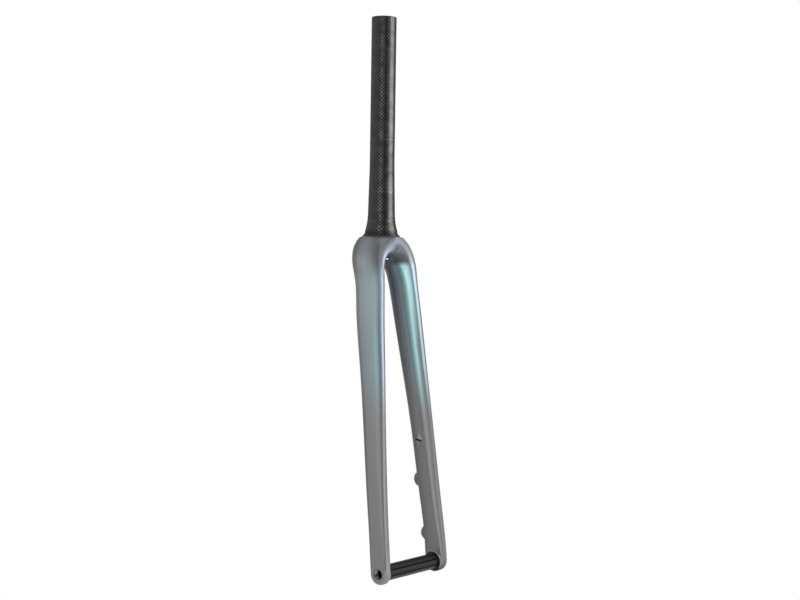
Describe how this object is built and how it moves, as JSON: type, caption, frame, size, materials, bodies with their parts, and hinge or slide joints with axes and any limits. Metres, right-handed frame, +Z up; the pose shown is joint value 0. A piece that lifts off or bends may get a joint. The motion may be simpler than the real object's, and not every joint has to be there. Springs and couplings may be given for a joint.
{
  "type": "bicycle fork",
  "caption": "Rigid carbon fork with a tapered steerer, hollow legs, thru-axle ends and lugs for a disc brake on one leg.",
  "frame": {"origin": "on the steering axis at the height of the crown's flat top, foot of the bearing seat", "axes": "+Z up along the steerer, +X forward, +Y to the brake side (rider's left)"},
  "size_m": [0.0967, 0.1248, 0.712],
  "materials": {
    "carbon": "satin paint over moulded carbon, bare weave on the steerer",
    "insert_metal": "machined",
    "black_plastic": "moulded"
  },
  "bodies": {
    "root": {"fork_body": "carbon", "brake_axle_insert": "insert_metal", "plain_axle_insert": "insert_metal", "upper_lug_insert": "insert_metal", "lower_lug_insert": "insert_metal", "crown_insert": "insert_metal", "spacer": "black_plastic"}
  },
  "joints": []
}
